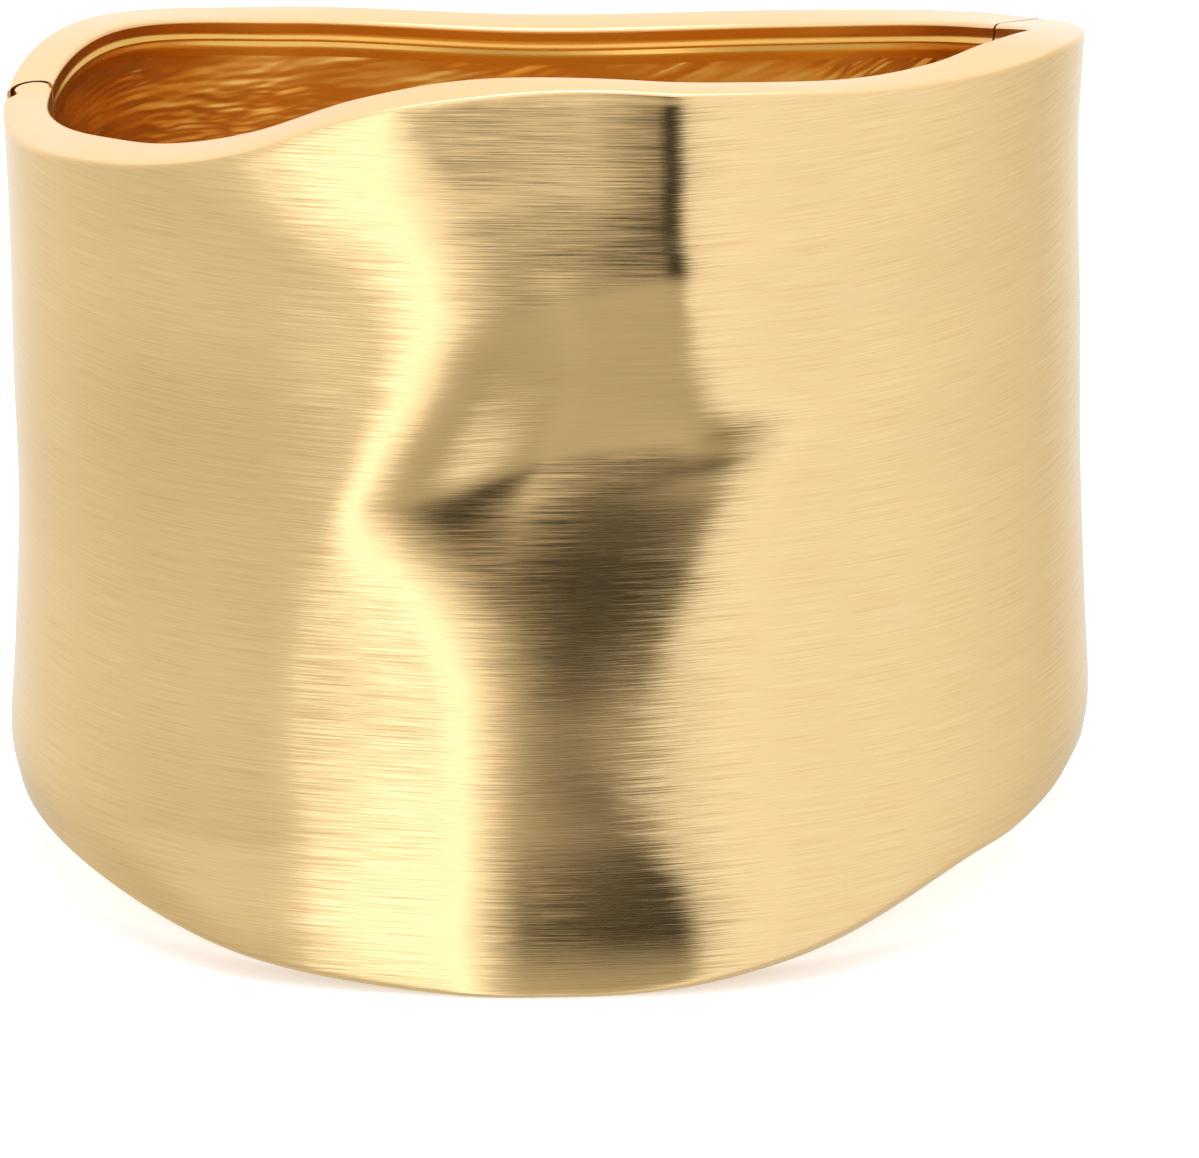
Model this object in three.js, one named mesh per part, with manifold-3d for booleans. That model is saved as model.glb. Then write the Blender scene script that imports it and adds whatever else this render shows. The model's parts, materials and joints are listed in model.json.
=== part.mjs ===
// A wide hinged cuff bangle in satin-brushed cast metal, standing on its lower edge.
// Millimetres, +Z up. The high dented face looks along -Y, the hinge is at the -X end and the
// clasp joint is just behind the +X end. Plan angles run anticlockwise from +X, in degrees.
import * as THREE from "three";
import { mergeVertices } from "three/addons/utils/BufferGeometryUtils.js";
import Module from "manifold-3d";

const wasm = await Module();
wasm.setup();

// ---- Plan outline of the outer face, about the plan centre ----
const HALF_WIDTH = 33;
const FRONT_DEPTH = 24;
const BACK_DEPTH = 30;
const SHOULDER_FULLNESS = 0.04;
const PLAN_CENTRE_Y = -2.65;

// ---- Section through the wall ----
const RIM_WIDTH = 2.8;
const WALL = 1.6;
const FLANGE_HEIGHT = 2.8;
const FLANGE_BEAD = 0.15;
const FLANGE_EDGE = 0.35;
const OUTER_EDGE_ROUND = 0.25;
const INNER_EDGE_ROUND = 0.3;
const CORNER_CUT = 0.3;
const BEVEL_STEEPNESS = 1.2;

// How closely the flanges and the recess between them follow the outer face.
const FLANGE_FOLLOWS = 0.6;
const RECESS_FOLLOWS = 0.7;

// Cast relief of the inner wall: its height, and how its waves turn in radians per millimetre.
const CAST_RIPPLE = 0.16;
const STREAKS = { share: 0.6, up: 1.05, along: 0.3, sway: 1.4, swayAlong: 0.23 };
const PATCHES = { along: 0.37, slope: 0.5, up: 0.61, start: 0.9 };

// ---- Hinge, clasp and running gaps ----
const GAP = 0.3;
const HINGE = { x: -31.35, y: 0, angle: 174.9 };
const KNUCKLES = 5;
const BARREL_RADIUS = 1.05;
const PIN_RADIUS = 0.4;
const PIN_COVER = 1.5;
const HINGE_RELIEF = 45;
const CLASP = { angle: 23, reach: 7, low: 17, high: 33 };
const TONGUE = { inner: -2.6, outer: -1.6 };
const REBATE = { depth: 1.55, margin: 0.7 };

// ---- Fineness of the mesh ----
const OUTER_ROWS = 20;
const RECESS_ROWS = 9;
const ROUND_SIDES = 20;
const CLASP_STEPS = 3;

// Height of the rim round the plan, and how much higher its inner edge is than its outer edge.
const RIM = [
  { angle: 0, height: 53.5, tilt: 0.1 },
  { angle: 30, height: 48.6, tilt: 0 },
  { angle: 60, height: 44.9, tilt: 0 },
  { angle: 90, height: 43.7, tilt: 0 },
  { angle: 120, height: 45.8, tilt: 0 },
  { angle: 150, height: 49.2, tilt: 0 },
  { angle: 180, height: 49.8, tilt: 0.3 },
  { angle: 200, height: 50.6, tilt: 0.7 },
  { angle: 215, height: 51.9, tilt: 0.55 },
  { angle: 226, height: 52.95, tilt: 0.35 },
  { angle: 238, height: 54.65, tilt: 0.35 },
  { angle: 250, height: 57.1, tilt: 0.35 },
  { angle: 262, height: 58.4, tilt: 0.4 },
  { angle: 275, height: 59, tilt: -0.05 },
  { angle: 290, height: 58.5, tilt: -0.2 },
  { angle: 305, height: 57.7, tilt: -0.2 },
  { angle: 317, height: 57.2, tilt: 0.1 },
  { angle: 327, height: 56.7, tilt: 0.6 },
  { angle: 340, height: 55.8, tilt: 0.5 },
];

// The lower edge is flat but for an arch under each side. Reaches are in degrees.
const ARCHES = [
  { angle: 190, rise: 5.1, reachBelow: 55, reachAbove: 75 },
  { angle: 345, rise: 6.6, reachBelow: 72, reachAbove: 60 },
];

// Bevel along the outer lower edge round the plan.
const LOWER_BEVEL = [
  { angle: 0, size: 0.5 },
  { angle: 60, size: 0.4 },
  { angle: 180, size: 0.35 },
  { angle: 275, size: 0.35 },
  { angle: 292, size: 0.7 },
  { angle: 310, size: 1.1 },
  { angle: 319, size: 0.9 },
  { angle: 326, size: 0.3 },
  { angle: 336, size: 0.3 },
  { angle: 346, size: 0.8 },
];

// How far the wall leans out of the plan outline, by its share of the height: in the middle of
// the front and back, and at the left and right sides.
const LEAN = [
  { share: 0, middle: -0.3, left: 0.5, right: 0.5 },
  { share: 0.07, middle: 0.05, left: 1.02, right: 1 },
  { share: 0.2, middle: 0.25, left: 0.6, right: 0.78 },
  { share: 0.42, middle: -0.1, left: 0, right: 0.45 },
  { share: 0.62, middle: -0.2, left: 0, right: 0.4 },
  { share: 0.85, middle: 0, left: -0.1, right: 0.25 },
  { share: 1, middle: 0.3, left: 0, right: 0.6 },
];

// The front is beaten into panels. Across each height the left panel ends at panelX, the wall
// turns to the front at bandX, enters the hollow at shadeX and breaks over a ridge at ridgeX,
// within ridgeHalf to either side.
const FOLD_PLACES = [
  { height: 0, panelX: -14.5, bandX: -6.4, shadeX: -1.7, ridgeX: 8.4, ridgeHalf: 1 },
  { height: 4, panelX: -14.5, bandX: -6.4, shadeX: -1.7, ridgeX: 8.2, ridgeHalf: 1 },
  { height: 7, panelX: -14.5, bandX: -6.3, shadeX: -1.9, ridgeX: 7.4, ridgeHalf: 1.2 },
  { height: 11, panelX: -14.8, bandX: -6.5, shadeX: -2.1, ridgeX: 5.6, ridgeHalf: 1.6 },
  { height: 15, panelX: -15.5, bandX: -6.7, shadeX: -2.1, ridgeX: 5.6, ridgeHalf: 1.8 },
  { height: 19, panelX: -15.5, bandX: -6.9, shadeX: -2, ridgeX: 6.4, ridgeHalf: 1.4 },
  { height: 23, panelX: -15, bandX: -8, shadeX: -1.8, ridgeX: 6.9, ridgeHalf: 1 },
  { height: 26, panelX: -14.4, bandX: -8.9, shadeX: -2.8, ridgeX: 8.2, ridgeHalf: 1 },
  { height: 29, panelX: -14, bandX: -9.4, shadeX: -5, ridgeX: 9.4, ridgeHalf: 1 },
  { height: 32, panelX: -13.4, bandX: -9.6, shadeX: -5.6, ridgeX: 10.1, ridgeHalf: 1 },
  { height: 35, panelX: -12.2, bandX: -9, shadeX: -5.2, ridgeX: 10.6, ridgeHalf: 1.2 },
  { height: 38, panelX: -11.2, bandX: -7.8, shadeX: -4.2, ridgeX: 9.8, ridgeHalf: 1.6 },
  { height: 41.5, panelX: -10.4, bandX: -6.4, shadeX: -2.8, ridgeX: 9.2, ridgeHalf: 1.4 },
  { height: 45, panelX: -10.4, bandX: -5.8, shadeX: -2, ridgeX: 8.4, ridgeHalf: 0.8 },
  { height: 48, panelX: -12, bandX: -7.8, shadeX: -2.6, ridgeX: 8.1, ridgeHalf: 0.8 },
  { height: 51, panelX: -15.4, bandX: -11.6, shadeX: -6, ridgeX: 8, ridgeHalf: 0.8 },
  { height: 55, panelX: -18.4, bandX: -14.8, shadeX: -9.6, ridgeX: 8, ridgeHalf: 0.8 },
  { height: 58, panelX: -20, bandX: -16.8, shadeX: -11.6, ridgeX: 8, ridgeHalf: 0.8 },
];

// The way the wall faces there, in degrees from -Y: at the panel's end, on the band, at the
// hollow's edge, on its floor and at the brink of the ridge, and the ridge's extra turn.
const FOLD_HEADINGS = [
  { height: 0, panel: -12, band: -10.2, shade: -1.2, floor: 0.8, brink: 2.6, step: 5.5 },
  { height: 4, panel: -12.2, band: -10.2, shade: -1.4, floor: 0.6, brink: 2.4, step: 6 },
  { height: 7, panel: -12.4, band: -10.4, shade: -1.8, floor: 1, brink: 2.8, step: 5.6 },
  { height: 11, panel: -12.6, band: -10.4, shade: -2.4, floor: 2.4, brink: 4.2, step: 4.3 },
  { height: 15, panel: -13, band: -10.7, shade: -2.8, floor: 4.2, brink: 5, step: 3.5 },
  { height: 19, panel: -13, band: -10.7, shade: -2.7, floor: 3.8, brink: 5, step: 3.5 },
  { height: 23, panel: -12.8, band: -10.4, shade: -2, floor: 3, brink: 5, step: 4 },
  { height: 26, panel: -12.9, band: -10.2, shade: -1.6, floor: 2.4, brink: 5.2, step: 4.3 },
  { height: 29, panel: -13.8, band: -9.8, shade: -1.8, floor: 2.4, brink: 5.2, step: 4.8 },
  { height: 32, panel: -14.8, band: -10.8, shade: -2.8, floor: 2.6, brink: 4.8, step: 5.2 },
  { height: 35, panel: -15, band: -12.6, shade: -3.8, floor: 1.5, brink: 3.4, step: 6.1 },
  { height: 38, panel: -15.2, band: -12.6, shade: -4.4, floor: -1.2, brink: 0, step: 9.2 },
  { height: 41.5, panel: -15.2, band: -12.6, shade: -4.6, floor: -0.6, brink: 0.5, step: 8.5 },
  { height: 45, panel: -14.8, band: -12, shade: -6.6, floor: -1.6, brink: -0.3, step: 9 },
  { height: 48, panel: -14, band: -11, shade: -6.8, floor: -4.2, brink: -2.6, step: 10.7 },
  { height: 51, panel: -13, band: -8.6, shade: -5.4, floor: -5, brink: -2.6, step: 10.9 },
  { height: 55, panel: -13, band: -6.6, shade: -5.4, floor: -5, brink: -2.6, step: 10.9 },
  { height: 58, panel: -13, band: -6.4, shade: -5.4, floor: -4.8, brink: -2.6, step: 10.9 },
];
const FLOOR_X = 3;

// How far beside the panel's end and beside the ridge the folds begin.
const LEFT_REACH = 5;
const RIGHT_REACH = 9;

// How far the hollow is pushed out besides, which sinks a dent half-way up and flares the foot.
// The push grows over HOLLOW_REACH from the column left on, and climbs to the right by the slant.
const HOLLOW = [
  { height: 0, out: 1.22, slant: 0, left: -30 },
  { height: 2, out: 1.05, slant: 0, left: -30 },
  { height: 4, out: 0.77, slant: 0, left: -30 },
  { height: 6, out: 0.38, slant: 0, left: -30 },
  { height: 8, out: 0.12, slant: 0, left: -29 },
  { height: 10, out: 0, slant: 0.02, left: -20 },
  { height: 13, out: 0, slant: 0.04, left: -15 },
  { height: 17, out: 0.06, slant: 0.08, left: -15.5 },
  { height: 20, out: 0.12, slant: 0.12, left: -15.5 },
  { height: 23, out: 0.1, slant: 0.15, left: -15 },
  { height: 26, out: 0, slant: 0.18, left: -14.4 },
  { height: 29, out: -0.15, slant: 0.2, left: -14 },
  { height: 32, out: -0.62, slant: 0.22, left: -13.4 },
  { height: 34, out: -1.15, slant: 0.24, left: -12.6 },
  { height: 35, out: -1.4, slant: 0.24, left: -12.2 },
  { height: 36, out: -1.5, slant: 0.25, left: -12 },
  { height: 38, out: -1.36, slant: 0.25, left: -11.2 },
  { height: 41, out: -1.05, slant: 0.25, left: -10.4 },
  { height: 44, out: -0.85, slant: 0.24, left: -10.4 },
  { height: 46, out: -0.62, slant: 0.22, left: -11 },
  { height: 48, out: -0.42, slant: 0.2, left: -12 },
  { height: 50, out: -0.05, slant: 0.18, left: -14.5 },
  { height: 52, out: 0.28, slant: 0.16, left: -16.2 },
  { height: 54, out: 0.42, slant: 0.14, left: -17.6 },
  { height: 56, out: 0.62, slant: 0.12, left: -19 },
  { height: 60, out: 0.95, slant: 0.1, left: -20.5 },
];
const HOLLOW_X = 2;
const HOLLOW_REACH = 12;

// Where across the front the folds fade into the plain wall on the right, and how squarely the
// wall must face the front to have any.
const RIGHT_FADE = { from: 14, to: 30 };
const FRONT_FADE = { from: 0.1, to: 0.5 };

// Soft swells of the front.
const SWELLS = [
  { x: -21, height: 41, halfWidth: 10, halfHeight: 6.5, rise: 0.3 },
];

// Where the wall is as thick as the rim, from top to bottom: beside the clasp and the hinge.
const END_FLANGES = [
  { from: 14, to: 32 },
  { from: 166, to: 183 },
];

// Columns of the wall round the plan, closest where the folds are.
const SPANS = [
  { from: 14, to: 32, steps: 5 },
  { from: 32, to: 33.5, steps: 1 },
  { from: 33.5, to: 164.5, steps: 27 },
  { from: 164.5, to: 166, steps: 1 },
  { from: 166, to: 183, steps: 5 },
  { from: 183, to: 184.5, steps: 1 },
  { from: 184.5, to: 232, steps: 12 },
  { from: 232, to: 308, steps: 38 },
  { from: 308, to: 372.5, steps: 17 },
  { from: 372.5, to: 374, steps: 1 },
];

const { clamp, degToRad, euclideanModulo, lerp, radToDeg, smoothstep } = THREE.MathUtils;

// ---- Shape of the wall ----

// A table's column on a smooth curve through its rows. A period closes the curve on itself.
function read(rows, key, column, at, period = 0) {
  const count = rows.length;
  const row = (index) => {
    const turns = period ? Math.floor(index / count) : 0;
    const kept = rows[clamp(index - turns * count, 0, count - 1)];
    return { at: kept[key] + turns * period, value: kept[column] };
  };
  const first = rows[0][key];
  const place = period ? euclideanModulo(at - first, period) + first : at;
  const last = period ? count - 1 : count - 2;
  let index = 0;
  while (index < last && row(index + 1).at <= place) index += 1;
  const [before, start, end, after] = [-1, 0, 1, 2].map((step) => row(index + step));
  const span = end.at - start.at;
  const share = clamp((place - start.at) / span, 0, 1);
  const startSlope = ((end.value - before.value) * span) / (end.at - before.at);
  const endSlope = ((after.value - start.value) * span) / (after.at - start.at);
  const blended = lerp(start.value, end.value, share * share * (3 - 2 * share));
  return blended + share * (1 - share) * ((1 - share) * startSlope - share * endSlope);
}

function planPoint(angle) {
  const turn = degToRad(angle);
  const depth = Math.sin(turn) < 0 ? FRONT_DEPTH : BACK_DEPTH;
  const fullness = 1 + SHOULDER_FULLNESS * Math.sin(2 * turn) ** 2;
  return new THREE.Vector2(HALF_WIDTH * Math.cos(turn), depth * Math.sin(turn)).multiplyScalar(fullness);
}

function planNormal(angle) {
  const step = 0.01;
  const along = planPoint(angle + step).sub(planPoint(angle - step)).normalize();
  return new THREE.Vector2(along.y, -along.x);
}

// A point at an offset out of the plan outline, in the part's frame.
function wallPoint(angle, offset) {
  const point = planPoint(angle).addScaledVector(planNormal(angle), offset);
  point.y += PLAN_CENTRE_Y;
  return point;
}

const rimHeight = (angle) => read(RIM, "angle", "height", angle, 360);

function baseHeight(angle) {
  let height = 0;
  for (const arch of ARCHES) {
    const away = euclideanModulo(angle - arch.angle + 180, 360) - 180;
    const share = Math.abs(away) / (away < 0 ? arch.reachBelow : arch.reachAbove);
    if (share < 1) height += arch.rise * Math.cos((share * Math.PI) / 2) ** 2;
  }
  return height;
}

// How far the wall leans out at a plan angle and a share of its height.
function leanOut(angle, share) {
  const across = Math.cos(degToRad(angle));
  const side = across > 0 ? "right" : "left";
  return lerp(read(LEAN, "share", "middle", share), read(LEAN, "share", side, share), across * across);
}

// The way the smooth oval faces at a place across the front, in degrees from -Y.
function planHeading(x) {
  const firstSide = Math.asin(x / HALF_WIDTH);
  const firstFullness = 1 + SHOULDER_FULLNESS * Math.sin(2 * firstSide) ** 2;
  const side = Math.asin(x / (HALF_WIDTH * firstFullness));
  const fullness = 1 + SHOULDER_FULLNESS * Math.sin(2 * side) ** 2;
  const growth = 2 * SHOULDER_FULLNESS * Math.sin(4 * side);
  const across = HALF_WIDTH * (Math.cos(side) * fullness + Math.sin(side) * growth);
  const back = FRONT_DEPTH * (Math.sin(side) * fullness - Math.cos(side) * growth);
  return radToDeg(Math.atan2(back, across));
}

// How far the wall climbs between the first station and x, turning evenly between stations.
function climb(stations, x) {
  let climbed = 0;
  for (let index = 0; index < stations.length - 1; index += 1) {
    const [start, end] = [stations[index], stations[index + 1]];
    const reach = clamp(x - start.x, 0, end.x - start.x);
    const turnHere = lerp(start.turn, end.turn, reach / (end.x - start.x));
    climbed -= (degToRad(start.turn + turnHere) / 2) * reach;
  }
  return climbed;
}

// How far the folds lift the wall: the sum of the wall's extra turns from the left on.
function foldRise(x, height) {
  const place = (column) => read(FOLD_PLACES, "height", column, height);
  const heading = (column) => read(FOLD_HEADINGS, "height", column, height);
  const plain = (at) => ({ x: at, turn: 0 });
  const facing = (at, way) => ({ x: at, turn: way - planHeading(at) });
  const panelX = place("panelX");
  const ridgeX = place("ridgeX");
  const ridgeHalf = place("ridgeHalf");
  const stations = [
    plain(panelX - LEFT_REACH),
    facing(panelX, heading("panel")),
    facing(place("bandX"), heading("band")),
    facing(place("shadeX"), heading("shade")),
    facing(FLOOR_X, heading("floor")),
    facing(ridgeX - ridgeHalf, heading("brink")),
    facing(ridgeX + ridgeHalf, heading("brink") + heading("step")),
    plain(ridgeX + RIGHT_REACH),
  ];
  const waveHeight = height - read(HOLLOW, "height", "slant", height) * (x - HOLLOW_X);
  const hollowOut = read(HOLLOW, "height", "out", waveHeight);
  const left = read(HOLLOW, "height", "left", height);
  const leftShare = smoothstep(x, left, left + HOLLOW_REACH);
  const rightShare = smoothstep(x, RIGHT_FADE.from, RIGHT_FADE.to);
  const middle = hollowOut * leftShare * (1 - rightShare);
  return climb(stations, x) + middle - climb(stations, HALF_WIDTH) * rightShare;
}

// Folds and swells of the front at a place on the wall.
function frontRise(angle, height) {
  const frontShare = smoothstep(-Math.sin(degToRad(angle)), FRONT_FADE.from, FRONT_FADE.to);
  if (frontShare === 0) return 0;
  const { x } = planPoint(angle);
  let rise = foldRise(x, height);
  for (const swell of SWELLS) {
    const across = (x - swell.x) / swell.halfWidth;
    const up = (height - swell.height) / swell.halfHeight;
    rise += swell.rise * Math.exp(-across * across - up * up);
  }
  return rise * frontShare;
}

// Rough cast streaks on the inner wall, which climb a little as they run round.
function castRipple(angle, height) {
  const along = degToRad(angle) * FRONT_DEPTH;
  const sway = STREAKS.sway * Math.sin(STREAKS.swayAlong * along);
  const streaks = Math.sin(STREAKS.up * height - STREAKS.along * along + sway);
  const lumps = Math.sin(PATCHES.along * along + PATCHES.slope * height);
  const patches = lumps * Math.sin(PATCHES.up * height + PATCHES.start);
  return CAST_RIPPLE * lerp(patches, streaks, STREAKS.share);
}

function isEndFlange(angle) {
  const turn = euclideanModulo(angle, 360);
  const slack = 0.01;
  return END_FLANGES.some((flange) => turn > flange.from - slack && turn < flange.to + slack);
}

// The closed section at a plan angle: offsets from the plan outline and heights.
function section(angle) {
  const top = rimHeight(angle);
  const innerTop = top + read(RIM, "angle", "tilt", angle, 360);
  const base = baseHeight(angle);
  const bevel = read(LOWER_BEVEL, "angle", "size", angle, 360);
  const solidEnd = isEndFlange(angle);
  const outer = (height) => leanOut(angle, (height - base) / (top - base)) + frontRise(angle, height);
  const inner = (height) => FLANGE_FOLLOWS * outer(height) - RIM_WIDTH;
  const recess = (height) => {
    return solidEnd ? inner(height) : RECESS_FOLLOWS * outer(height) - WALL + castRipple(angle, height);
  };
  const points = [];
  const add = (offset, height) => points.push({ offset, height });
  const addFlange = (high, low) => {
    const middle = (high + low) / 2;
    add(inner(high), high);
    add(inner(middle) - FLANGE_BEAD, middle);
    add(inner(low), low);
  };
  add(outer(base) - bevel, base);
  for (let row = 0; row <= OUTER_ROWS; row += 1) {
    const share = row / OUTER_ROWS;
    const height = lerp(base + BEVEL_STEEPNESS * bevel, top - OUTER_EDGE_ROUND, share);
    add(outer(height), height);
  }
  add(outer(top) - CORNER_CUT * OUTER_EDGE_ROUND, top - CORNER_CUT * OUTER_EDGE_ROUND);
  add(outer(top) - OUTER_EDGE_ROUND, top);
  add(inner(top) + INNER_EDGE_ROUND, innerTop);
  add(inner(top) + CORNER_CUT * INNER_EDGE_ROUND, innerTop - CORNER_CUT * INNER_EDGE_ROUND);
  addFlange(innerTop - INNER_EDGE_ROUND, innerTop - FLANGE_HEIGHT + FLANGE_EDGE);
  for (let row = 0; row <= RECESS_ROWS; row += 1) {
    const height = lerp(innerTop - FLANGE_HEIGHT, base + FLANGE_HEIGHT, row / RECESS_ROWS);
    add(recess(height), height);
  }
  addFlange(base + FLANGE_HEIGHT - FLANGE_EDGE, base + INNER_EDGE_ROUND);
  add(inner(base) + INNER_EDGE_ROUND, base);
  return points;
}

// ---- Geometry helpers ----

function solidOf(geometry) {
  geometry.deleteAttribute("normal");
  geometry.deleteAttribute("uv");
  const merged = mergeVertices(geometry);
  const vertProperties = merged.getAttribute("position").array;
  return new wasm.Manifold(new wasm.Mesh({ numProp: 3, vertProperties, triVerts: merged.index.array }));
}

function geometryOf(solid) {
  const { vertProperties, triVerts } = solid.getMesh();
  const geometry = new THREE.BufferGeometry();
  geometry.setAttribute("position", new THREE.BufferAttribute(vertProperties, 3));
  geometry.setIndex(new THREE.BufferAttribute(triVerts, 1));
  geometry.computeVertexNormals();
  return geometry;
}

// The whole cuff before it is cut in two: a plane grid rolled up round the plan and the section.
// Its columns run clockwise, so that its faces look outward.
function wholeCuff() {
  const angles = [];
  for (const span of SPANS) {
    for (let step = 0; step < span.steps; step += 1) {
      angles.unshift(lerp(span.from, span.to, step / span.steps));
    }
  }
  const sections = angles.map(section);
  const rows = sections[0].length;
  const grid = new THREE.PlaneGeometry(1, 1, angles.length, rows);
  const points = grid.getAttribute("position");
  for (let index = 0; index < points.count; index += 1) {
    const column = (index % (angles.length + 1)) % angles.length;
    const row = Math.floor(index / (angles.length + 1)) % rows;
    const { offset, height } = sections[column][row];
    const { x, y } = wallPoint(angles[column], offset);
    points.setXYZ(index, x, y, height);
  }
  grid.index = new THREE.BufferAttribute(new Uint32Array(grid.index.array), 1);
  return solidOf(grid);
}

function prism(outline, low, high) {
  const shape = new THREE.Shape(outline);
  const geometry = new THREE.ExtrudeGeometry(shape, { depth: high - low, bevelEnabled: false });
  return solidOf(geometry.translate(0, 0, low));
}

// An upright rod on the hinge axis.
function hingeRod(radius, low, high) {
  const rod = new THREE.CylinderGeometry(radius, radius, high - low, ROUND_SIDES);
  rod.rotateX(Math.PI / 2);
  return solidOf(rod.translate(HINGE.x, HINGE.y, (low + high) / 2));
}

// A block across the clasp joint that follows the wall between two offsets from the plan outline.
function claspBlock(reach, innerOffset, outerOffset, low, high) {
  const outline = [];
  for (let step = -CLASP_STEPS; step <= CLASP_STEPS; step += 1) {
    const angle = CLASP.angle + (reach * step) / CLASP_STEPS;
    outline.push(wallPoint(angle, outerOffset));
    outline.unshift(wallPoint(angle, innerOffset));
  }
  return prism(outline, low, high);
}

// ---- The two halves ----

// How far the regions of the two halves reach: out, up and down, along the clasp's joint face
// from the hinge, and into the wrist opening beside the hinge.
const FAR = 90;
const TALL = 80;
const CLASP_FACE = { from: 30, to: 110 };
const HINGE_INSIDE = 9;

const hingePoint = new THREE.Vector2(HINGE.x, HINGE.y);
const claspPoint = wallPoint(CLASP.angle, -RIM_WIDTH / 2);
const claspDirection = claspPoint.clone().sub(hingePoint).normalize();

// A point on the clasp's joint face, which lies on a ray from the hinge, moved to one side of it.
function onClaspFace(distance, side) {
  const sideways = new THREE.Vector2(-claspDirection.y, claspDirection.x);
  const point = hingePoint.clone().addScaledVector(claspDirection, distance);
  return point.addScaledVector(sideways, (side * GAP) / 2);
}

// The front half ends on a slope outside the hinge, so that the back half can swing out past it.
function frontRegion() {
  const relief = degToRad(180 + HINGE_RELIEF);
  const start = new THREE.Vector2(HINGE.x, HINGE.y - GAP / 2);
  const slopeEnd = new THREE.Vector2(Math.cos(relief), Math.sin(relief)).multiplyScalar(FAR).add(start);
  const outline = [
    start,
    slopeEnd,
    new THREE.Vector2(FAR, -FAR),
    onClaspFace(CLASP_FACE.to, -1),
    onClaspFace(CLASP_FACE.from, -1),
    new THREE.Vector2(HINGE.x + HINGE_INSIDE, start.y),
  ];
  return prism(outline, -TALL, TALL);
}

function backRegion() {
  const outline = [
    new THREE.Vector2(-FAR, HINGE.y + GAP / 2),
    new THREE.Vector2(HINGE.x + HINGE_INSIDE, HINGE.y + GAP / 2),
    onClaspFace(CLASP_FACE.from, 1),
    onClaspFace(CLASP_FACE.to, 1),
    new THREE.Vector2(FAR, FAR),
    new THREE.Vector2(-FAR, FAR),
  ];
  return prism(outline, -TALL, TALL);
}

// Knuckles along the hinge from the lower edge up: even ones belong to the front half.
function knuckleSpans() {
  const low = baseHeight(HINGE.angle);
  const pitch = (rimHeight(HINGE.angle) - low + GAP) / KNUCKLES;
  const spans = [];
  for (let index = 0; index < KNUCKLES; index += 1) {
    const start = index === 0 ? -TALL : low + index * pitch;
    const end = index === KNUCKLES - 1 ? TALL : low + (index + 1) * pitch - GAP;
    spans.push({ start, end, front: index % 2 === 0 });
  }
  return spans;
}

function half(cuff, region, isFront) {
  let shell = cuff.intersect(region);
  for (const { start, end, front } of knuckleSpans()) {
    if (front !== isFront) {
      shell = shell.subtract(hingeRod(BARREL_RADIUS + GAP, start - GAP, end + GAP));
    }
  }
  for (const { start, end, front } of knuckleSpans()) {
    if (front === isFront) shell = shell.add(cuff.intersect(hingeRod(BARREL_RADIUS, start, end)));
  }
  const boreTop = rimHeight(HINGE.angle) - PIN_COVER;
  shell = shell.subtract(hingeRod(PIN_RADIUS + GAP, -TALL, boreTop));
  const reach = CLASP.reach + REBATE.margin;
  const open = -RIM_WIDTH - REBATE.depth;
  const floor = REBATE.depth - RIM_WIDTH;
  return shell.subtract(claspBlock(reach, open, floor, CLASP.low - GAP, CLASP.high + GAP));
}

function hingePin() {
  const low = baseHeight(HINGE.angle) + GAP;
  return hingeRod(PIN_RADIUS, low, rimHeight(HINGE.angle) - PIN_COVER - GAP);
}

function claspTongue() {
  return claspBlock(CLASP.reach, TONGUE.inner, TONGUE.outer, CLASP.low, CLASP.high);
}

// ---- Materials and assembly ----

const satinGold = { color: 0xdcb877, metalness: 1, roughness: 0.38 };
const polishedGold = { color: 0xc98a35, metalness: 1, roughness: 0.2 };

function piece(name, solid, finish) {
  const mesh = new THREE.Mesh(geometryOf(solid), new THREE.MeshStandardMaterial(finish));
  mesh.name = name;
  return mesh;
}

const cuff = wholeCuff();
const bangle = new THREE.Group();
bangle.add(piece("front_shell", half(cuff, frontRegion(), true), satinGold));
bangle.add(piece("back_shell", half(cuff, backRegion(), false), satinGold));
bangle.add(piece("hinge_pin", hingePin(), polishedGold));
bangle.add(piece("clasp_tongue", claspTongue(), polishedGold));

export default bangle;
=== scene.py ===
"""Looks of a wide hinged cuff bangle in satin-brushed gold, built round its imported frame.

The two shells are modelled again from the sizes of the part, with a fine mesh, soft edges and the
cast streaks of the inner wall. Shape tables are in millimetres and Blender objects in metres.
Plan angles run anticlockwise from +X, in degrees. The dented front looks along -Y.
"""

import json
import math

import bmesh
import bpy
from mathutils import Matrix, Vector


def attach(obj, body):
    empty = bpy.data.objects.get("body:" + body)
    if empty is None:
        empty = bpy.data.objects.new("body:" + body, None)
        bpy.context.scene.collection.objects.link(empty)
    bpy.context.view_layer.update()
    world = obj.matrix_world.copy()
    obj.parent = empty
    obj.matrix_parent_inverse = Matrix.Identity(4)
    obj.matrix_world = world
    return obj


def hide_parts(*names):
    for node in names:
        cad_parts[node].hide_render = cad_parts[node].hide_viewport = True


bl_info = {
    "name": "Satin Gold Cuff Bangle",
    "version": (1, 0, 0),
    "blender": (4, 5, 0),
    "location": "3D View > Sidebar > Bangle",
    "description": "Models the shells, hinge pin and clasp of a hinged cuff bangle, and its studio",
    "category": "Object",
}

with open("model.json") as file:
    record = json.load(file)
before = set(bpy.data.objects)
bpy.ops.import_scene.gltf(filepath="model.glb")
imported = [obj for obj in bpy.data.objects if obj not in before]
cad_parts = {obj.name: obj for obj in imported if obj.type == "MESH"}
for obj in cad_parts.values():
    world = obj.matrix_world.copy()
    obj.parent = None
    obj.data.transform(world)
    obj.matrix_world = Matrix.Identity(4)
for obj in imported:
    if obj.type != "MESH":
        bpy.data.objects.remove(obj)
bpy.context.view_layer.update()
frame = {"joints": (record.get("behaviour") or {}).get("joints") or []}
HINGE_JOINT = frame["joints"][0]
MM = 0.001

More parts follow.
